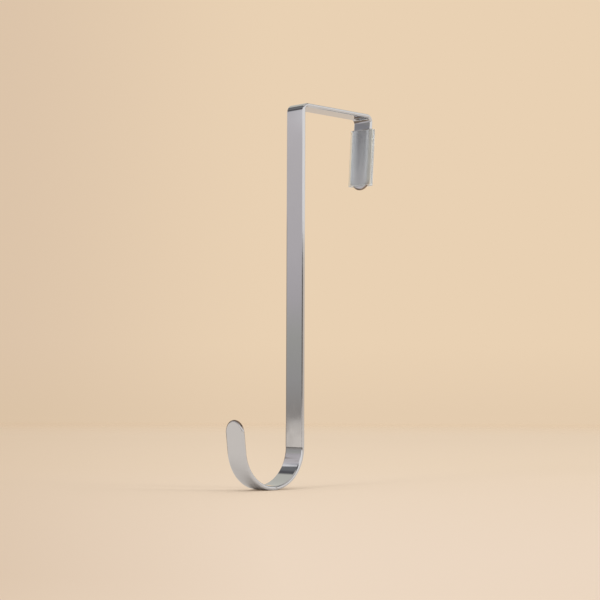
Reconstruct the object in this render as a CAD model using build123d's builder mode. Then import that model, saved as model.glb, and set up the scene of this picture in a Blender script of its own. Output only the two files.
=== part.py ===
"""Over-the-door wreath hanger: one bent flat steel bar, and a clear sleeve on its back leg.

Frame: the origin is the centre of the top bar's underside, where the hanger sits on the door.
+Z is up, +Y runs from the front strip to the back leg, X is across the bar's width.
"""

import os
from math import asin, cos, radians, sin

from build123d import *

# Driving dimensions, in millimetres and degrees

overall_height = 200.0          # from the hook's lowest point to the top of the bar
door_gap = 50.0                 # between the front strip and the back leg, at the bar

strip_width = 12.7              # half-inch flat bar
strip_thickness = 2.0           # its edges are rolled to a full round
bend_inner_radius = 2.0         # both bends of the top bar

leg_drop = 41.0                 # from the top of the bar to the back leg's tip
leg_lean = 3.7                  # the leg's foot is set towards the door

hook_inner_radius = 19.5
hook_sweep = 173.0              # short of a half turn, so that the hook's mouth is open
hook_limb = 16.7                # from the end of the hook's curve to its tip

sleeve_length = 30.5
sleeve_clearance = 0.1          # between the leg and the sleeve's bore, all round
sleeve_side_wall = 1.55         # beyond the bore's round ends
sleeve_flat_wall = 1.9          # over the middle of the bore's flats
sleeve_side_radius = 2.7        # of the outside, round its two sides
sleeve_tip_gap = 2.4            # how far the metal tip stands out of the sleeve

# The bar's centre line, in the plane x = 0

half_thickness = strip_thickness / 2
end_radius = strip_width / 2
bend_radius = bend_inner_radius + half_thickness
hook_radius = hook_inner_radius + half_thickness

top_z = strip_thickness
bar_z = half_thickness
front_y = -(door_gap / 2 + half_thickness)
back_y = door_gap / 2 + half_thickness
hook_centre_z = top_z - overall_height + hook_inner_radius + strip_thickness

# The leg leaves the bar's line at the back corner and leans towards the door.
lean = radians(leg_lean)
leg_down = (-sin(lean), -cos(lean))
tip_centre_drop = bar_z - (top_z - leg_drop + end_radius)
leg_straight = tip_centre_drop / cos(lean)
back_corner = (back_y, bar_z)
leg_end = (back_y + leg_straight * leg_down[0], bar_z + leg_straight * leg_down[1])


def section_plane(path, at):
    """The plane across the bar's line at a share of its length, with the width along its x."""
    return Plane(origin=path @ at, x_dir=(1, 0, 0), z_dir=path % at)


with BuildLine(Plane.YZ) as bar_line:
    FilletPolyline(leg_end, back_corner, (front_y, bar_z), (front_y, hook_centre_z), radius=bend_radius)
    hook_curve = JernArc(
        start=(front_y, hook_centre_z),
        tangent=(0, -1),
        radius=hook_radius,
        arc_size=-hook_sweep,
    )
    # The limb's last half width is the round tip.
    Line(hook_curve @ 1, hook_curve @ 1 + (hook_curve % 1) * (hook_limb - end_radius))

centre_line = bar_line.wire()


# The bar: a strip with round edges along the centre line, closed by a full-round end at the
# leg's tip and at the hook's tip, where the same round edge turns about the middle of the strip.

with BuildPart() as hanger_strip:
    with BuildSketch(section_plane(centre_line, 0)):
        SlotOverall(strip_width, strip_thickness)
    sweep(path=centre_line)

    for share in (0, 1):
        across = section_plane(centre_line, share)
        with BuildSketch(across):
            SlotOverall(strip_width, strip_thickness)
            split(bisect_by=Plane.YZ, keep=Keep.TOP)
        pivot = Axis(across.origin, across.y_dir)
        revolve(axis=pivot, revolution_arc=-180 if share else 180)

hanger_strip.part.label = "hanger_strip"


# The sleeve: an oval tube whose bore fits the straight of the leg, cut square at both ends.

sleeve_foot_from_tip = sleeve_tip_gap - end_radius
leg_plane = Plane(
    origin=(0, leg_end[0], leg_end[1]),
    x_dir=(1, 0, 0),
    z_dir=(0, -leg_down[0], -leg_down[1]),
)
bore_width = strip_width + 2 * sleeve_clearance
bore_thickness = strip_thickness + 2 * sleeve_clearance

# The outside is an oval of four arcs: two side arcs, and two wide ones that meet them tangentially.
half_width = bore_width / 2 + sleeve_side_wall
half_depth = bore_thickness / 2 + sleeve_flat_wall
side_x = half_width - sleeve_side_radius
wide_radius = (side_x**2 + half_depth**2 - sleeve_side_radius**2) / (2 * (half_depth - sleeve_side_radius))
turn = asin(side_x / (wide_radius - sleeve_side_radius))
join_x = wide_radius * sin(turn)
join_y = sleeve_side_radius * cos(turn)

with BuildPart() as leg_sleeve:
    with BuildSketch(leg_plane.offset(sleeve_foot_from_tip)):
        with BuildLine():
            ThreePointArc((-join_x, join_y), (0, half_depth), (join_x, join_y))
            ThreePointArc((join_x, join_y), (half_width, 0), (join_x, -join_y))
            ThreePointArc((join_x, -join_y), (0, -half_depth), (-join_x, -join_y))
            ThreePointArc((-join_x, -join_y), (-half_width, 0), (-join_x, join_y))
        make_face()
        SlotOverall(bore_width, bore_thickness, mode=Mode.SUBTRACT)
    extrude(amount=sleeve_length)

leg_sleeve.part.label = "leg_sleeve"


os.makedirs("parts", exist_ok=True)
for piece in (hanger_strip, leg_sleeve):
    export_step(piece.part, f"parts/{piece.part.label}.step")
    print(piece.part.label, "volume", round(piece.part.volume, 1), piece.part.bounding_box())
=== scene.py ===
from math import cos, radians, sin, tan

import bpy
from mathutils import Matrix, Vector


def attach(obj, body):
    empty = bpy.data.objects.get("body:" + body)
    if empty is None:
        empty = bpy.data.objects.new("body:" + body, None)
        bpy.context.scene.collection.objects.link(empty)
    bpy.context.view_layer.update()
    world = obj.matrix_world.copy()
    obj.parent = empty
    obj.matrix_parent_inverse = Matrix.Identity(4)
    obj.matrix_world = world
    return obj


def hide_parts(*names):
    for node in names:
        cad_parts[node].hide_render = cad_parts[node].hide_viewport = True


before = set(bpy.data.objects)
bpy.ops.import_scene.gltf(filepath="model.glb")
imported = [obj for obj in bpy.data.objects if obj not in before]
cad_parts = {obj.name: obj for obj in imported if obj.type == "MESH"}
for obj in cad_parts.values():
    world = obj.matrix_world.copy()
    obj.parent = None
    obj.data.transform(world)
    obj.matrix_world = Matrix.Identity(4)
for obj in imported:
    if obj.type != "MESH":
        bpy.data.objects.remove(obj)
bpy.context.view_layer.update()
mm = 0.001


# The camera
# A long lens near table height, level with the hook and looking slightly up, so that the
# underside of the top bar shows. It sees the strip's face and its right-hand edge alike.

frame_width = 36.0                  # sensor, mm
lens_length = 96.8
view_azimuth = radians(44.8)        # round from the strip's face, towards +X
view_pitch = radians(-3.3)
view_roll = radians(0.2)
view_distance = 836.7 * mm
aim_height = -100.8 * mm
aim_right = 3.06 * mm
strip_face_y = -27.0 * mm

towards_camera = Vector((sin(view_azimuth), -cos(view_azimuth), 0.0))
to_the_right = Vector((cos(view_azimuth), sin(view_azimuth), 0.0))
backwards = towards_camera * cos(view_pitch) + Vector((0.0, 0.0, sin(view_pitch)))
upwards = backwards.cross(to_the_right)
aim = Vector((0.0, strip_face_y, aim_height)) + to_the_right * aim_right

camera_data = bpy.data.cameras.new("camera")
camera_data.sensor_width = frame_width
camera_data.lens = lens_length
camera = bpy.data.objects.new("camera", camera_data)
bpy.context.scene.collection.objects.link(camera)
rolled_right = to_the_right * cos(view_roll) + upwards * sin(view_roll)
rolled_up = upwards * cos(view_roll) - to_the_right * sin(view_roll)
camera_turn = Matrix((rolled_right, rolled_up, backwards)).transposed()
camera.matrix_world = Matrix.Translation(aim + backwards * view_distance) @ camera_turn.to_4x4()
bpy.context.scene.camera = camera


# The hanger's bar
# One strip of flat steel with rolled round edges and full-round ends, drawn to size, bent
# cold to the centre line below and then plated bright. It carries everything else.

strip_width = 12.7 * mm
strip_thickness = 2.0 * mm
door_gap = 50.0 * mm
overall_height = 200.0 * mm
bend_radius = 3.0 * mm              # of the centre line, at both bends of the top bar
leg_drop = 41.0 * mm
leg_lean = radians(3.7)
hook_radius = 20.5 * mm             # of the centre line
hook_sweep = radians(173.0)
hook_limb = 16.7 * mm
end_rings = 14                      # steps of the centre line that close each round end
weld_distance = 0.002 * mm

half_thickness = strip_thickness / 2
end_radius = strip_width / 2
bar_z = half_thickness
front_y = -(door_gap / 2 + half_thickness)
back_y = -front_y
hook_centre_z = strip_thickness - overall_height + half_thickness + hook_radius


def along(angle):
    """The direction in the bar's plane, as (y, z), that is turned by angle from straight down to -Y."""
    return Vector((-sin(angle), -cos(angle)))


# The hook's curve is two equal turns with no straight between them.
hook_turn = hook_sweep / 2
hook_tangent = hook_radius * tan(hook_turn / 2)
back_corner = Vector((back_y, bar_z))
front_corner = Vector((front_y, bar_z))
hook_corner = Vector((front_y, hook_centre_z - hook_tangent))
limb_corner = hook_corner + along(hook_turn) * 2 * hook_tangent
hook_tip = limb_corner + along(hook_sweep) * (hook_tangent + hook_limb)
leg_straight = (bar_z - strip_thickness + leg_drop - end_radius) / cos(leg_lean)
leg_tip = back_corner + along(leg_lean) * (leg_straight + end_radius)


def round_end(tip, inwards):
    """Points of the centre line over the last half width of the strip, from the tip in."""
    return [tip + inwards * end_radius * ring / end_rings for ring in range(end_rings + 1)]


# Each point of the centre line, with the radius that the bar is bent to there.
centre_points = (
    [(point, 0.0) for point in round_end(leg_tip, -along(leg_lean))]
    + [(back_corner, bend_radius), (front_corner, bend_radius)]
    + [(hook_corner, hook_radius), (limb_corner, hook_radius)]
    + [(point, 0.0) for point in reversed(round_end(hook_tip, -along(hook_sweep)))]
)

line_data = bpy.data.curves.new("bar_line", "CURVE")
line_data.dimensions = "3D"
spline = line_data.splines.new("POLY")
spline.points.add(len(centre_points) - 1)
for point, (place, corner_radius) in zip(spline.points, centre_points):
    point.co = (0.0, place.x, place.y, 1.0)
    point.radius = corner_radius
bar_line = bpy.data.objects.new("bar_line", line_data)
bpy.context.scene.collection.objects.link(bar_line)


def linear(colour):
    """A written sRGB hex colour as the linear values that a shader takes."""
    levels = [int(colour[i:i + 2], 16) / 255 for i in (1, 3, 5)]
    return tuple(v / 12.92 if v <= 0.04045 else ((v + 0.055) / 1.055) ** 2.4 for v in levels) + (1.0,)


def add(tree, kind, inputs=None, **settings):
    """A node of that kind with its settings, and each input a value or another node's output."""
    node = tree.nodes.new(kind)
    for name, value in settings.items():
        setattr(node, name, value)
    for name, value in (inputs or {}).items():
        if isinstance(value, bpy.types.NodeSocket):
            tree.links.new(value, node.inputs[name])
        else:
            node.inputs[name].default_value = value
    return node


# Bright nickel-chrome plate over drawn steel: a hard, near-neutral mirror that keeps the fine
# lengthwise lines of the drawn strip under it, and a faint unevenness of the plating itself.
# Over the sheared edge of each round end it is thin and looks brown.
plate_colour = linear("#D3D2D4")
thin_plate_colour = linear("#8B7767")
thin_plate_begins = 0.03            # share of the way out over the sheared edge
thin_plate_full = 0.25
draw_line_spacing = 0.25 * mm       # real lines are near 0.05 mm, drawn coarser so that they show
draw_line_length = 60.0 * mm
plate_ripple = 6.0 * mm

plate = bpy.data.materials.new("bright_plated_drawn_steel")
plate.use_nodes = True
tree = plate.node_tree
tree.nodes.clear()
place = add(tree, "ShaderNodeTexCoord").outputs["Object"]
lines_at = add(tree, "ShaderNodeMapping", {
    "Vector": place, "Scale": (1 / draw_line_spacing, 1 / draw_line_length, 1 / draw_line_length),
})
lines = add(tree, "ShaderNodeTexNoise", {
    "Vector": lines_at.outputs[0], "Scale": 1.0, "Detail": 3.0, "Roughness": 0.6,
})
haze = add(tree, "ShaderNodeTexNoise", {"Vector": place, "Scale": 1 / plate_ripple, "Detail": 2.0})
gloss = add(tree, "ShaderNodeMapRange", {
    "Value": haze.outputs[0], "From Min": 0.3, "From Max": 0.7, "To Min": 0.05, "To Max": 0.09,
})
line_bump = add(tree, "ShaderNodeBump", {
    "Height": lines.outputs[0], "Strength": 0.06, "Distance": 0.02 * mm,
})
ripple_bump = add(tree, "ShaderNodeBump", {
    "Height": haze.outputs[0], "Strength": 0.012, "Distance": 0.2 * mm, "Normal": line_bump.outputs[0],
})
sheared = add(tree, "ShaderNodeMapRange", {
    "Value": add(tree, "ShaderNodeAttribute", attribute_name="sheared_edge").outputs["Fac"],
    "From Min": thin_plate_begins, "From Max": thin_plate_full,
})
# A colour mix takes its share at socket 0 and its two colours at 6 and 7, and its colour leaves at 2.
plate_tone = add(tree, "ShaderNodeMix", {
    0: sheared.outputs[0], 6: plate_colour, 7: thin_plate_colour,
}, data_type="RGBA").outputs[2]
shader = add(tree, "ShaderNodeBsdfPrincipled", {
    "Base Color": plate_tone, "Metallic": 1.0, "Roughness": gloss.outputs[0],
    "Normal": ripple_bump.outputs[0],
})
add(tree, "ShaderNodeOutputMaterial", {"Surface": shader.outputs[0]})


def new_tree(name, sizes):
    """An empty geometry tree with a geometry in and out, and a named input for each size."""
    made = bpy.data.node_groups.new(name, "GeometryNodeTree")
    made.interface.new_socket("Geometry", in_out="INPUT", socket_type="NodeSocketGeometry")
    for size, kind in sizes.items():
        made.interface.new_socket(size, in_out="INPUT", socket_type=kind)
    made.interface.new_socket("Geometry", in_out="OUTPUT", socket_type="NodeSocketGeometry")
    return made


def run_tree(tree, piece, values):
    """The mesh that the tree makes of the piece, with these values for its named inputs."""
    modifier = piece.modifiers.new(tree.name, "NODES")
    modifier.node_group = tree
    for socket in tree.interface.items_tree:
        if socket.in_out == "INPUT" and socket.name in values:
            modifier[socket.identifier] = values[socket.name]
    evaluated = piece.evaluated_get(bpy.context.evaluated_depsgraph_get())
    mesh = bpy.data.meshes.new_from_object(evaluated)
    piece.modifiers.remove(modifier)
    return mesh


# The tree bends the strip: the slot-shaped section follows the centre line, and over the last
# half width at each end it is turned about the middle of the strip, which makes the round end.
tree = new_tree("bend_the_strip", {
    "Width": "NodeSocketFloat", "Thickness": "NodeSocketFloat",
    "Bend facets": "NodeSocketInt", "Edge facets": "NodeSocketInt",
    "Finish": "NodeSocketMaterial",
})
given = add(tree, "NodeGroupInput").outputs
bent = add(tree, "GeometryNodeFilletCurve", {
    "Curve": given["Geometry"], "Radius": add(tree, "GeometryNodeInputRadius").outputs[0],
    "Count": given["Bend facets"],
}, mode="POLY")
even = add(tree, "GeometryNodeSetCurveRadius", {"Curve": bent.outputs[0], "Radius": 1.0})
facing = add(tree, "GeometryNodeSetCurveNormal", {
    "Curve": even.outputs[0], "Normal": (1.0, 0.0, 0.0),
}, mode="FREE")
measured = add(tree, "GeometryNodeStoreNamedAttribute", {
    "Geometry": facing.outputs[0], "Name": "along",
    "Value": add(tree, "GeometryNodeSplineParameter").outputs["Length"],
}, data_type="FLOAT", domain="POINT")
headed = add(tree, "GeometryNodeStoreNamedAttribute", {
    "Geometry": measured.outputs[0], "Name": "heading",
    "Value": add(tree, "GeometryNodeInputTangent").outputs[0],
}, data_type="FLOAT_VECTOR", domain="POINT")
total = add(tree, "GeometryNodeCurveLength", {"Curve": facing.outputs[0]}).outputs[0]

# The section carries its place across the strip, and how far round its edge it has left the flats.
blank = add(tree, "GeometryNodeCurvePrimitiveQuadrilateral", {
    "Width": given["Width"], "Height": given["Thickness"],
})
halved = add(tree, "GeometryNodeSubdivideCurve", {"Curve": blank.outputs[0], "Cuts": 1})
edge_round = add(tree, "ShaderNodeMath", {0: given["Thickness"], 1: 0.5}, operation="MULTIPLY").outputs[0]
section = add(tree, "GeometryNodeFilletCurve", {
    "Curve": halved.outputs[0], "Radius": edge_round, "Count": given["Edge facets"],
}, mode="POLY")
section_place = add(tree, "ShaderNodeSeparateXYZ", {
    "Vector": add(tree, "GeometryNodeInputPosition").outputs[0],
}).outputs
off_flat = add(tree, "ShaderNodeMath", {0: section_place["Y"]}, operation="ABSOLUTE").outputs[0]
off_flat = add(tree, "ShaderNodeMath", {0: edge_round, 1: off_flat}, operation="SUBTRACT").outputs[0]
off_flat = add(tree, "ShaderNodeMath", {0: off_flat, 1: edge_round}, operation="DIVIDE").outputs[0]
for name, value in (("across", section_place["X"]), ("off_flat", off_flat)):
    section = add(tree, "GeometryNodeStoreNamedAttribute", {
        "Geometry": section.outputs[0], "Name": name, "Value": value,
    }, data_type="FLOAT", domain="POINT")
swept = add(tree, "GeometryNodeCurveToMesh", {
    "Curve": headed.outputs[0], "Profile Curve": section.outputs[0],
})
along_now, across_now, off_flat_now = (
    add(tree, "GeometryNodeInputNamedAttribute", {"Name": name}, data_type="FLOAT").outputs[0]
    for name in ("along", "across", "off_flat")
)
heading_now = add(tree, "GeometryNodeInputNamedAttribute", {
    "Name": "heading",
}, data_type="FLOAT_VECTOR").outputs[0]

# How far a section lies beyond the start of the round end, and the angle that it swings through.
half_width = add(tree, "ShaderNodeMath", {0: given["Width"], 1: 0.5}, operation="MULTIPLY").outputs[0]
from_end = add(tree, "ShaderNodeMath", {0: total, 1: along_now}, operation="SUBTRACT").outputs[0]
near_end = add(tree, "ShaderNodeMath", {0: along_now, 1: from_end}, operation="MINIMUM").outputs[0]
beyond = add(tree, "ShaderNodeMath", {0: half_width, 1: near_end}, operation="SUBTRACT").outputs[0]
beyond = add(tree, "ShaderNodeMath", {0: beyond, 1: 0.0}, operation="MAXIMUM").outputs[0]
share = add(tree, "ShaderNodeMath", {0: beyond, 1: half_width}, operation="DIVIDE").outputs[0]
swing = add(tree, "ShaderNodeMath", {0: share, 1: radians(90.0)}, operation="MULTIPLY").outputs[0]
swing_sine = add(tree, "ShaderNodeMath", {0: swing}, operation="SINE").outputs[0]
swing_cosine = add(tree, "ShaderNodeMath", {0: swing}, operation="COSINE").outputs[0]

# The swing moves a point out along the strip's heading and in towards the strip's middle.
outward = add(tree, "ShaderNodeMath", {0: along_now, 1: from_end}, operation="SUBTRACT").outputs[0]
outward = add(tree, "ShaderNodeMath", {0: outward}, operation="SIGN").outputs[0]
off_middle = add(tree, "ShaderNodeMath", {0: across_now}, operation="ABSOLUTE").outputs[0]
forward = add(tree, "ShaderNodeMath", {0: off_middle, 1: swing_sine}, operation="MULTIPLY").outputs[0]
forward = add(tree, "ShaderNodeMath", {0: forward, 1: beyond}, operation="SUBTRACT").outputs[0]
forward = add(tree, "ShaderNodeMath", {0: forward, 1: outward}, operation="MULTIPLY").outputs[0]
forward = add(tree, "ShaderNodeVectorMath", {0: heading_now, "Scale": forward}, operation="SCALE").outputs[0]
sideways = add(tree, "ShaderNodeMath", {0: swing_cosine, 1: 1.0}, operation="SUBTRACT").outputs[0]
sideways = add(tree, "ShaderNodeMath", {0: sideways, 1: across_now}, operation="MULTIPLY").outputs[0]
sideways = add(tree, "ShaderNodeCombineXYZ", {"X": sideways}).outputs[0]
shift = add(tree, "ShaderNodeVectorMath", {0: forward, 1: sideways}, operation="ADD").outputs[0]
end_edge = add(tree, "ShaderNodeMath", {0: share, 1: off_flat_now}, operation="MULTIPLY").outputs[0]
marked = add(tree, "GeometryNodeStoreNamedAttribute", {
    "Geometry": swept.outputs[0], "Name": "sheared_edge", "Value": end_edge,
}, data_type="FLOAT", domain="POINT")
rounded = add(tree, "GeometryNodeSetPosition", {"Geometry": marked.outputs[0], "Offset": shift})
closed = add(tree, "GeometryNodeMergeByDistance", {"Geometry": rounded.outputs[0], "Distance": weld_distance})
smooth = add(tree, "GeometryNodeSetShadeSmooth", {"Geometry": closed.outputs[0]})
real = add(tree, "GeometryNodeRealizeInstances", {"Geometry": smooth.outputs[0]})
finished = add(tree, "GeometryNodeSetMaterial", {"Geometry": real.outputs[0], "Material": given["Finish"]})
add(tree, "NodeGroupOutput", {"Geometry": finished.outputs[0]})

bar_mesh = run_tree(tree, bar_line, {
    "Width": strip_width, "Thickness": strip_thickness,
    "Bend facets": 40, "Edge facets": 10, "Finish": plate,
})
bpy.data.objects.remove(bar_line)
bar = bpy.data.objects.new("bent_bar", bar_mesh)
bpy.context.scene.collection.objects.link(bar)
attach(bar, "root")
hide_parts("hanger_strip")


# The sleeve
# A short piece of clear soft vinyl tube, pushed up over the back leg so that the plated edge
# doesn't mark the door. It is cut square from a long extruded tube, and friction holds it.

sleeve_length = 30.5 * mm
sleeve_half_width = 8.0 * mm        # the outside is an oval of four arcs that meet tangentially
sleeve_half_depth = 3.0 * mm
sleeve_side_radius = 2.7 * mm
sleeve_wide_radius = (
    (sleeve_half_width - sleeve_side_radius) ** 2 + sleeve_half_depth ** 2 - sleeve_side_radius ** 2
) / (2 * (sleeve_half_depth - sleeve_side_radius))
sleeve_clearance = 0.1 * mm         # between the leg and the bore, all round
sleeve_tip_gap = 2.4 * mm           # how far the metal tip stands out of the sleeve
bore_round_share = 0.4999           # of the bore's depth, just short of a half
cut_edge_angle = radians(60.0)      # a steeper edge than this stays sharp

# Clear plasticised vinyl, extruded: glossy, a little milky and grey through its thickness, with
# faint lines along the tube from the extruder's die.
vinyl_colour = linear("#ECEFF0")
die_line_spacing = 0.9 * mm
die_line_length = 60.0 * mm
trapped_glow = 0.20
trapped_after = 2.5                 # glossy bounces: between the second and the third
any_bounce = 0.5                    # a ray whose depth is above this has bounced or passed through

vinyl = bpy.data.materials.new("clear_extruded_vinyl")
vinyl.use_nodes = True
tree = vinyl.node_tree
tree.nodes.clear()
lines_at = add(tree, "ShaderNodeMapping", {
    "Vector": add(tree, "ShaderNodeTexCoord").outputs["Object"],
    "Scale": (1 / die_line_spacing, 1 / die_line_spacing, 1 / die_line_length),
})
lines = add(tree, "ShaderNodeTexNoise", {"Vector": lines_at.outputs[0], "Scale": 1.0, "Detail": 2.0})
line_bump = add(tree, "ShaderNodeBump", {
    "Height": lines.outputs[0], "Strength": 0.1, "Distance": 0.01 * mm,
})
# Light that runs round inside the wall counts as a painted pale glow from its third bounce.
ray = add(tree, "ShaderNodeLightPath").outputs
inside = add(tree, "ShaderNodeMath", {
    0: ray["Transmission Depth"], 1: any_bounce,
}, operation="GREATER_THAN").outputs[0]
trapped = add(tree, "ShaderNodeMath", {
    0: ray["Glossy Depth"], 1: trapped_after,
}, operation="GREATER_THAN").outputs[0]
trapped = add(tree, "ShaderNodeMath", {0: trapped, 1: inside}, operation="MULTIPLY").outputs[0]
trapped = add(tree, "ShaderNodeMath", {0: trapped, 1: trapped_glow}, operation="MULTIPLY").outputs[0]
shader = add(tree, "ShaderNodeBsdfPrincipled", {
    "Base Color": vinyl_colour, "Roughness": 0.03, "IOR": 1.53, "Transmission Weight": 0.93,
    "Normal": line_bump.outputs[0], "Emission Color": vinyl_colour, "Emission Strength": trapped,
})
add(tree, "ShaderNodeOutputMaterial", {"Surface": shader.outputs[0]})

# The tree fills the ring between the oval outside and the snug bore, and draws it out to length.
# The mesh is made upright and then set on the leg.
tree = new_tree("draw_out_the_tube", {
    "Half width": "NodeSocketFloat", "Half depth": "NodeSocketFloat",
    "Side radius": "NodeSocketFloat", "Wide radius": "NodeSocketFloat",
    "Bore width": "NodeSocketFloat", "Bore depth": "NodeSocketFloat",
    "Length": "NodeSocketFloat", "Outer facets": "NodeSocketInt", "Bore facets": "NodeSocketInt",
    "Finish": "NodeSocketMaterial",
})
given = add(tree, "NodeGroupInput").outputs
# Each point of a unit circle is also its direction out of the oval, on a side arc or on a wide one.
circle = add(tree, "GeometryNodeCurvePrimitiveCircle", {"Resolution": given["Outer facets"], "Radius": 1.0})
way = add(tree, "GeometryNodeInputPosition").outputs[0]
way_parts = add(tree, "ShaderNodeSeparateXYZ", {"Vector": way}).outputs
x_sign = add(tree, "ShaderNodeMath", {0: way_parts["X"]}, operation="SIGN").outputs[0]
y_sign = add(tree, "ShaderNodeMath", {0: way_parts["Y"]}, operation="SIGN").outputs[0]
side_reach = add(tree, "ShaderNodeMath", {
    0: given["Half width"], 1: given["Side radius"],
}, operation="SUBTRACT").outputs[0]
side_x = add(tree, "ShaderNodeMath", {0: side_reach, 1: x_sign}, operation="MULTIPLY").outputs[0]
side_arc = add(tree, "ShaderNodeVectorMath", {
    0: way, 1: given["Side radius"], 2: add(tree, "ShaderNodeCombineXYZ", {"X": side_x}).outputs[0],
}, operation="MULTIPLY_ADD").outputs[0]
wide_y = add(tree, "ShaderNodeMath", {
    0: given["Half depth"], 1: given["Wide radius"],
}, operation="SUBTRACT").outputs[0]
wide_y = add(tree, "ShaderNodeMath", {0: wide_y, 1: y_sign}, operation="MULTIPLY").outputs[0]
wide_arc = add(tree, "ShaderNodeVectorMath", {
    0: way, 1: given["Wide radius"], 2: add(tree, "ShaderNodeCombineXYZ", {"Y": wide_y}).outputs[0],
}, operation="MULTIPLY_ADD").outputs[0]
centre_distance = add(tree, "ShaderNodeMath", {
    0: given["Wide radius"], 1: given["Side radius"],
}, operation="SUBTRACT").outputs[0]
join_sine = add(tree, "ShaderNodeMath", {0: side_reach, 1: centre_distance}, operation="DIVIDE").outputs[0]
lean_out = add(tree, "ShaderNodeMath", {0: way_parts["X"]}, operation="ABSOLUTE").outputs[0]
on_wide = add(tree, "ShaderNodeMath", {0: lean_out, 1: join_sine}, operation="LESS_THAN").outputs[0]
# A vector mix takes its two vectors at sockets 4 and 5, and its vector leaves at 1.
oval_point = add(tree, "ShaderNodeMix", {0: on_wide, 4: side_arc, 5: wide_arc}, data_type="VECTOR").outputs[1]
oval = add(tree, "GeometryNodeSetPosition", {"Geometry": circle.outputs[0], "Position": oval_point})
bore_blank = add(tree, "GeometryNodeCurvePrimitiveQuadrilateral", {
    "Width": given["Bore width"], "Height": given["Bore depth"],
})
bore_round = add(tree, "ShaderNodeMath", {
    0: given["Bore depth"], 1: bore_round_share,
}, operation="MULTIPLY").outputs[0]
bore = add(tree, "GeometryNodeFilletCurve", {
    "Curve": bore_blank.outputs[0], "Radius": bore_round, "Count": given["Bore facets"],
}, mode="POLY")
both = add(tree, "GeometryNodeJoinGeometry")
for curve in (oval, bore):
    tree.links.new(curve.outputs[0], both.inputs[0])
ring = add(tree, "GeometryNodeFillCurve", {"Curve": both.outputs[0]})
rise = add(tree, "ShaderNodeCombineXYZ", {"Z": given["Length"]}).outputs[0]
drawn = add(tree, "GeometryNodeExtrudeMesh", {
    "Mesh": ring.outputs[0], "Offset": rise, "Offset Scale": 1.0, "Individual": False,
})
foot = add(tree, "GeometryNodeFlipFaces", {"Mesh": ring.outputs[0]})
tube = add(tree, "GeometryNodeJoinGeometry")
for part in (drawn, foot):
    tree.links.new(part.outputs[0], tube.inputs[0])
closed = add(tree, "GeometryNodeMergeByDistance", {"Geometry": tube.outputs[0], "Distance": weld_distance})
smooth = add(tree, "GeometryNodeSetShadeSmooth", {"Geometry": closed.outputs[0]})
steep = add(tree, "ShaderNodeMath", {
    0: add(tree, "GeometryNodeInputMeshEdgeAngle").outputs[0], 1: cut_edge_angle,
}, operation="GREATER_THAN").outputs[0]
cut_edges = add(tree, "GeometryNodeSetShadeSmooth", {
    "Geometry": smooth.outputs[0], "Selection": steep, "Shade Smooth": False,
}, domain="EDGE")
real = add(tree, "GeometryNodeRealizeInstances", {"Geometry": cut_edges.outputs[0]})
finished = add(tree, "GeometryNodeSetMaterial", {"Geometry": real.outputs[0], "Material": given["Finish"]})
add(tree, "NodeGroupOutput", {"Geometry": finished.outputs[0]})

sleeve_blank = bpy.data.objects.new("sleeve_blank", bpy.data.meshes.new("sleeve_blank"))
bpy.context.scene.collection.objects.link(sleeve_blank)
sleeve_mesh = run_tree(tree, sleeve_blank, {
    "Half width": sleeve_half_width, "Half depth": sleeve_half_depth,
    "Side radius": sleeve_side_radius, "Wide radius": sleeve_wide_radius,
    "Bore width": strip_width + 2 * sleeve_clearance, "Bore depth": strip_thickness + 2 * sleeve_clearance,
    "Length": sleeve_length, "Outer facets": 180, "Bore facets": 16, "Finish": vinyl,
})
bpy.data.objects.remove(sleeve_blank)
sleeve_foot = leg_tip - along(leg_lean) * sleeve_tip_gap
sleeve_place = Matrix.Translation((0.0, sleeve_foot.x, sleeve_foot.y))
sleeve_mesh.transform(sleeve_place @ Matrix.Rotation(-leg_lean, 4, "X"))
sleeve = bpy.data.objects.new("vinyl_sleeve", sleeve_mesh)
bpy.context.scene.collection.objects.link(sleeve)
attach(sleeve, "root")
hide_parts("leg_sleeve")

# Both pieces shade flat where they are flat, and the sleeve's cut edges stay sharp.
for piece in (bar, sleeve):
    flats = piece.modifiers.new("normals_follow_the_flats", "WEIGHTED_NORMAL")
    flats.keep_sharp = True


# The floor and the backdrop
# Plain warm paper: a table under the object, which fades into the paper wall behind it, so that
# no hard horizon shows from any side. The metal mirrors a paler, greyer table.

# The table is painted lighter at the front and darker far off, a painted fall-off of the light, and it has a
# painted shade at the left.
table_colour = linear("#E9D4BB")
table_painted_light_front = linear("#EBD7C2")
table_painted_shade_far = linear("#E4CFB6")
table_colour_shaded = linear("#D2BAA0")
# The table in the mirror is a painted reflection: paler and greyer, greyer still far off, darker at the far
# left, and with a painted shade behind the object towards the card.
table_in_mirror = linear("#E8E2DA")
table_in_mirror_far = linear("#DACEC1")
table_in_mirror_left = linear("#BCB8B4")
table_in_mirror_painted_shade = linear("#8A7B6E")
table_reach = (2.6, 1.40)           # to the sides and to the back of the photograph's view, m
table_fade = 0.36                   # share of the reach
floor_radius = 3.6
floor_z = strip_thickness - overall_height

# Where each tone of the table begins and is full: in shares of the reach, X to the right of the
# photograph's view and Y to its back.
tone_places = {
    "front": ("Y", 0.17, -0.26),
    "far": ("Y", 0.05, 0.60),
    "mirror_left": ("X", -0.50, -0.85),
    "painted_shade_left": ("X", -0.04, -0.06),
    "painted_shade_back": ("Y", -0.005, 0.005),
}
# The shade at the left fans out from a point in front of the object.
fan_distance = 0.6                  # from that point to the object, share of the reach
fan_least = 0.3                     # nearer than this to its point the fan is no narrower
fan_slopes = (-0.20, -0.025)        # to the side over back, where the shade is full and where it ends

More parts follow.
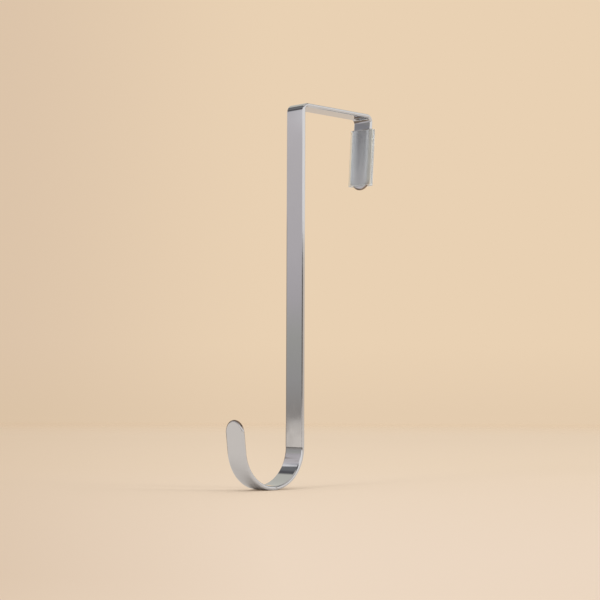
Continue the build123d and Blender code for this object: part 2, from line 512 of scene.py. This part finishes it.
paper = bpy.data.materials.new("warm_paper")
paper.use_nodes = True
tree = paper.node_tree
tree.nodes.clear()
level = add(tree, "ShaderNodeMapping", {
    "Vector": add(tree, "ShaderNodeTexCoord").outputs["Object"],
    "Rotation": (0.0, 0.0, view_azimuth), "Scale": (*table_reach, 0.0),
}, vector_type="TEXTURE").outputs[0]
reached = add(tree, "ShaderNodeVectorMath", {0: level}, operation="LENGTH").outputs["Value"]
fade = add(tree, "ShaderNodeMapRange", {
    "Value": reached, "From Min": 1 - table_fade, "From Max": 1 + table_fade,
}, interpolation_type="SMOOTHSTEP").outputs[0]
level_parts = add(tree, "ShaderNodeSeparateXYZ", {"Vector": level}).outputs
tone_share = {
    name: add(tree, "ShaderNodeMapRange", {
        "Value": level_parts[axis], "From Min": begins, "From Max": full,
    }).outputs[0]
    for name, (axis, begins, full) in tone_places.items()
}
fan = add(tree, "ShaderNodeMath", {0: level_parts["Y"], 1: fan_distance}, operation="ADD").outputs[0]
fan = add(tree, "ShaderNodeMath", {0: fan, 1: fan_least}, operation="MAXIMUM").outputs[0]
slope = add(tree, "ShaderNodeMath", {0: level_parts["X"], 1: fan}, operation="DIVIDE").outputs[0]
side_light = add(tree, "ShaderNodeMapRange", {
    "Value": slope, "From Min": fan_slopes[0], "From Max": fan_slopes[1],
}).outputs[0]
painted_shade_by_card = add(tree, "ShaderNodeMath", {
    0: tone_share["painted_shade_left"], 1: tone_share["painted_shade_back"],
}, operation="MULTIPLY").outputs[0]

seen = table_colour
for share, colour in ((tone_share["front"], table_painted_light_front), (tone_share["far"], table_painted_shade_far)):
    seen = add(tree, "ShaderNodeMix", {0: share, 6: seen, 7: colour}, data_type="RGBA").outputs[2]
seen = add(tree, "ShaderNodeMix", {
    0: side_light, 6: table_colour_shaded, 7: seen,
}, data_type="RGBA").outputs[2]
# Only mirrored rays see these painted reflection tones.
mirrored = table_in_mirror
for share, colour in (
    (tone_share["far"], table_in_mirror_far),
    (tone_share["mirror_left"], table_in_mirror_left),
    (painted_shade_by_card, table_in_mirror_painted_shade),
):
    mirrored = add(tree, "ShaderNodeMix", {0: share, 6: mirrored, 7: colour}, data_type="RGBA").outputs[2]
by_ray = add(tree, "ShaderNodeMix", {
    0: add(tree, "ShaderNodeLightPath").outputs["Is Glossy Ray"], 6: seen, 7: mirrored,
}, data_type="RGBA").outputs[2]
table = add(tree, "ShaderNodeBsdfDiffuse", {"Color": by_ray})
gone = add(tree, "ShaderNodeBsdfTransparent")
shader = add(tree, "ShaderNodeMixShader", {0: fade, 1: table.outputs[0], 2: gone.outputs[0]})
add(tree, "ShaderNodeOutputMaterial", {"Surface": shader.outputs[0]})

floor_data = bpy.data.meshes.new("floor")
rim = [Vector((cos(radians(a)), sin(radians(a)), 0.0)) * floor_radius for a in range(0, 360, 5)]
floor_data.from_pydata([p + Vector((0.0, 0.0, floor_z)) for p in rim], [], [list(range(len(rim)))])
floor_data.materials.append(paper)
floor = bpy.data.objects.new("floor", floor_data)
bpy.context.scene.collection.objects.link(floor)
floor.visible_shadow = False


# The studio
# The paper wall, which the camera sees, and what the plating mirrors: that wall behind, a large
# soft box in front, a low pale wall at the right, a grey panel at the left, and elsewhere a dark
# room under a pale ceiling.

wall_colour = linear("#E9D1B3")
wall_colour_shaded = linear("#DBC3A9")
wall_foot_colour = linear("#E4CCAF")
wall_foot_colour_shaded = linear("#DAC2A6")
wall_shade_sides = (-0.22, 0.0)     # from shaded to lit, as the sight turns to the right
wall_foot_heights = (0.03, -0.012)  # from the wall's tone to its foot's, as the sight drops
room_low = linear("#57534F")
room_high = linear("#5E5E61")
table_far_off = linear("#DAD4CE")
ceiling = linear("#DAD6D0")
pale_painted_through_vinyl = linear("#D6D0C4")
soft_fill = 0.88                    # the plain white light on everything that isn't a mirror

# The angle over the horizon at which a tone changes, and half the width of the change, in degrees.
room_rises = (10, 12)
table_ends = (-0.4, 0.4)
ceiling_begins = (58, 3)
panel_side_soft = 4
panel_foot_soft = 0.6
panel_head_soft = 1.5
# Each panel's middle, half its width, lowest and highest angle, in degrees, and its colour.
panels = (
    (-108, 12, 30, 60, linear("#7C7E80")),
    (180, 76, -80, 33, wall_colour),
    (180, 48, -80, 52, linear("#CFCFC6")),
    (180, 48, -80, 15, wall_colour),
    (66, 62, -80, 7, linear("#DCD2C6")),
    (35, 96, 5.4, 44, linear("#FFFEFC")),
)

world = bpy.data.worlds.new("studio")
world.use_nodes = True
bpy.context.scene.world = world
tree = world.node_tree
tree.nodes.clear()
sight = add(tree, "ShaderNodeTexCoord").outputs["Generated"]
ray = add(tree, "ShaderNodeLightPath").outputs
flat_sight = add(tree, "ShaderNodeVectorMath", {0: sight, 1: (1.0, 1.0, 0.0)}, operation="MULTIPLY")
around = add(tree, "ShaderNodeVectorMath", {0: flat_sight.outputs[0]}, operation="NORMALIZE").outputs[0]
height = add(tree, "ShaderNodeSeparateXYZ", {"Vector": sight}).outputs["Z"]


def share_above(angle, soft):
    """How far the sight is above that angle over the horizon, from 0 to 1 over a soft edge."""
    return add(tree, "ShaderNodeMapRange", {
        "Value": height, "From Min": sin(radians(angle - soft)), "From Max": sin(radians(angle + soft)),
    }, interpolation_type="SMOOTHSTEP").outputs[0]


def share_towards(vector, direction, away, near):
    """How far the vector turns to that direction, from 0 where their product is away to 1 at near."""
    product = add(tree, "ShaderNodeVectorMath", {0: vector, 1: direction}, operation="DOT_PRODUCT")
    return add(tree, "ShaderNodeMapRange", {
        "Value": product.outputs["Value"], "From Min": away, "From Max": near,
    }, interpolation_type="SMOOTHSTEP").outputs[0]


def compass(degrees):
    """The level direction at that angle round from the camera, positive to the camera's right."""
    turn = radians(degrees)
    return towards_camera * cos(turn) + to_the_right * sin(turn)


mirror = add(tree, "ShaderNodeMix", {
    0: share_above(*room_rises), 6: room_low, 7: room_high,
}, data_type="RGBA").outputs[2]
mirror = add(tree, "ShaderNodeMix", {
    0: share_above(*table_ends), 6: table_far_off, 7: mirror,
}, data_type="RGBA").outputs[2]
for middle, half, lowest, highest, colour in panels:
    wide = share_towards(
        around, compass(middle), cos(radians(half + panel_side_soft)), cos(radians(half - panel_side_soft)),
    )
    over = share_above(lowest, panel_foot_soft)
    above = share_above(highest, panel_head_soft)
    under = add(tree, "ShaderNodeMath", {0: 1.0, 1: above}, operation="SUBTRACT").outputs[0]
    tall = add(tree, "ShaderNodeMath", {0: over, 1: under}, operation="MULTIPLY").outputs[0]
    panel = add(tree, "ShaderNodeMath", {0: wide, 1: tall}, operation="MULTIPLY").outputs[0]
    mirror = add(tree, "ShaderNodeMix", {0: panel, 6: mirror, 7: colour}, data_type="RGBA").outputs[2]
mirror = add(tree, "ShaderNodeMix", {
    0: share_above(*ceiling_begins), 6: mirror, 7: ceiling,
}, data_type="RGBA").outputs[2]
# Rays that have passed through the vinyl see a plain pale tone: painted light where the sleeve's wall would
# show dark.
refracted = add(tree, "ShaderNodeMath", {
    0: ray["Transmission Depth"], 1: any_bounce,
}, operation="GREATER_THAN").outputs[0]
mirror = add(tree, "ShaderNodeMix", {0: refracted, 6: mirror, 7: pale_painted_through_vinyl}, data_type="RGBA").outputs[2]

wall_light = share_towards(sight, to_the_right, *wall_shade_sides)
at_foot = add(tree, "ShaderNodeMapRange", {
    "Value": height, "From Min": wall_foot_heights[0], "From Max": wall_foot_heights[1],
}).outputs[0]
wall, wall_foot = (
    add(tree, "ShaderNodeMix", {0: wall_light, 6: shaded, 7: lit}, data_type="RGBA").outputs[2]
    for shaded, lit in ((wall_colour_shaded, wall_colour), (wall_foot_colour_shaded, wall_foot_colour))
)
seen = add(tree, "ShaderNodeMix", {0: at_foot, 6: wall, 7: wall_foot}, data_type="RGBA").outputs[2]
bounced = add(tree, "ShaderNodeMath", {
    0: ray["Glossy Depth"], 1: any_bounce,
}, operation="GREATER_THAN").outputs[0]
shown = add(tree, "ShaderNodeMix", {0: bounced, 6: seen, 7: mirror}, data_type="RGBA").outputs[2]
lit = add(tree, "ShaderNodeMix", {
    0: ray["Is Diffuse Ray"], 6: shown, 7: (soft_fill, soft_fill, soft_fill, 1.0),
}, data_type="RGBA").outputs[2]
shader = add(tree, "ShaderNodeBackground", {"Color": lit, "Strength": 1.0})
add(tree, "ShaderNodeOutputWorld", {"Surface": shader.outputs[0]})


# The grey card
# A tall card, which stands to the left and shows only in the mirror, where it glows as a painted reflection.
# Its painted light falls off at head and foot, its far side has a painted shade, and its head a painted
# highlight to both sides of the middle.

card_distance = 0.40
card_size = (0.50, 0.3015)
card_foot = 0.0285                  # over the table
card_tones = (                      # share of its height, and the tone there
    (0.00, "#A7A39E"), (0.02, "#9F9B96"), (0.10, "#ABAAA8"), (0.21, "#B4B4AF"), (0.31, "#C3BFC1"),
    (0.42, "#CCC8CA"), (0.66, "#D2CECF"), (0.77, "#D7D3D5"), (0.85, "#B4B4B9"), (0.90, "#9A9AA0"),
    (0.95, "#8F8E90"),
)
card_shade = linear("#75685E")
card_painted_highlight = linear("#F4F4F6")
# A wide shade low down and a narrow one under the head. Each has the shares of the height where
# it begins and is full, its depth, and where its edges begin and end, in m towards the camera.
card_shades = (
    (0.54, 0.50, 1.0, ((-0.013, -0.020),)),
    (0.62, 0.66, 0.5, ((-0.004, -0.010), (-0.031, -0.026))),
)
card_flanks = ((0.012, 0.046), (-0.060, -0.090))
card_head = (0.73, 0.79)

card_material = bpy.data.materials.new("grey_card")
card_material.use_nodes = True
tree = card_material.node_tree
tree.nodes.clear()
place = add(tree, "ShaderNodeTexCoord").outputs["Object"]
card_height = add(tree, "ShaderNodeMapRange", {
    "Value": add(tree, "ShaderNodeSeparateXYZ", {"Vector": place}).outputs["Z"],
    "From Min": floor_z + card_foot, "From Max": floor_z + card_foot + card_size[1],
}).outputs[0]
card_side = add(tree, "ShaderNodeVectorMath", {
    0: place, 1: towards_camera,
}, operation="DOT_PRODUCT").outputs["Value"]
tones = add(tree, "ShaderNodeValToRGB", {0: card_height})
stops = tones.color_ramp.elements
while len(stops) < len(card_tones):
    stops.new(0.5)
for stop, (where, colour) in zip(stops, card_tones):
    stop.position = where
    stop.color = linear(colour)

shades = []
for begins, full, depth, edges in card_shades:
    shade = add(tree, "ShaderNodeMapRange", {
        "Value": card_height, "From Min": begins, "From Max": full, "To Max": depth,
    }).outputs[0]
    for start, end in edges:
        edge = add(tree, "ShaderNodeMapRange", {"Value": card_side, "From Min": start, "From Max": end})
        shade = add(tree, "ShaderNodeMath", {0: shade, 1: edge.outputs[0]}, operation="MULTIPLY").outputs[0]
    shades.append(shade)
shaded = add(tree, "ShaderNodeMath", {0: shades[0], 1: shades[1]}, operation="MAXIMUM").outputs[0]
near_flank, far_flank = (
    add(tree, "ShaderNodeMapRange", {"Value": card_side, "From Min": start, "From Max": end}).outputs[0]
    for start, end in card_flanks
)
flank = add(tree, "ShaderNodeMath", {0: near_flank, 1: far_flank}, operation="MAXIMUM").outputs[0]
head = add(tree, "ShaderNodeMapRange", {
    "Value": card_height, "From Min": card_head[0], "From Max": card_head[1],
}).outputs[0]
low_tone, head_tone = (
    add(tree, "ShaderNodeMix", {0: share, 6: tones.outputs[0], 7: colour}, data_type="RGBA").outputs[2]
    for share, colour in ((shaded, card_shade), (flank, card_painted_highlight))
)
card_tone = add(tree, "ShaderNodeMix", {0: head, 6: low_tone, 7: head_tone}, data_type="RGBA").outputs[2]
glow = add(tree, "ShaderNodeEmission", {"Color": card_tone, "Strength": 1.0})
gone = add(tree, "ShaderNodeBsdfTransparent")
bounced = add(tree, "ShaderNodeMath", {
    0: add(tree, "ShaderNodeLightPath").outputs["Glossy Depth"], 1: any_bounce,
}, operation="GREATER_THAN").outputs[0]
shader = add(tree, "ShaderNodeMixShader", {0: bounced, 1: gone.outputs[0], 2: glow.outputs[0]})
add(tree, "ShaderNodeOutputMaterial", {"Surface": shader.outputs[0]})

card_middle = Vector((0.0, strip_face_y, 0.0)) - to_the_right * card_distance
card_data = bpy.data.meshes.new("grey_card")
card_data.from_pydata([
    card_middle + towards_camera * side * card_size[0] / 2 + Vector((0.0, 0.0, floor_z + card_foot + rise))
    for side, rise in ((-1, 0.0), (1, 0.0), (1, card_size[1]), (-1, card_size[1]))
], [], [(0, 1, 2, 3)])
card_data.materials.append(card_material)
card = bpy.data.objects.new("grey_card", card_data)
bpy.context.scene.collection.objects.link(card)
card.visible_camera = False
card.visible_diffuse = False
card.visible_shadow = False


# The lamps
# Two soft lamps far off, which the metal and the vinyl don't mirror. They give the two faint
# shadows on the table, and a little light from each side.

# Each lamp's angle round from the camera, angle over the table and apparent width, in degrees,
# and its light.
for name, round_by, over_table, width, power in (
    ("right_lamp", 75, 22, 18, 0.61),
    ("left_lamp", -40, 30, 18, 0.36),
):
    lamp_data = bpy.data.lights.new(name, "SUN")
    lamp_data.angle = radians(width)
    lamp_data.energy = power
    lamp = bpy.data.objects.new(name, lamp_data)
    bpy.context.scene.collection.objects.link(lamp)
    towards_lamp = compass(round_by) * cos(radians(over_table)) + Vector((0.0, 0.0, sin(radians(over_table))))
    lamp.rotation_euler = towards_lamp.to_track_quat("Z", "Y").to_euler()
    lamp.visible_glossy = False
    lamp.visible_transmission = False

bpy.context.scene.view_settings.view_transform = "Standard"
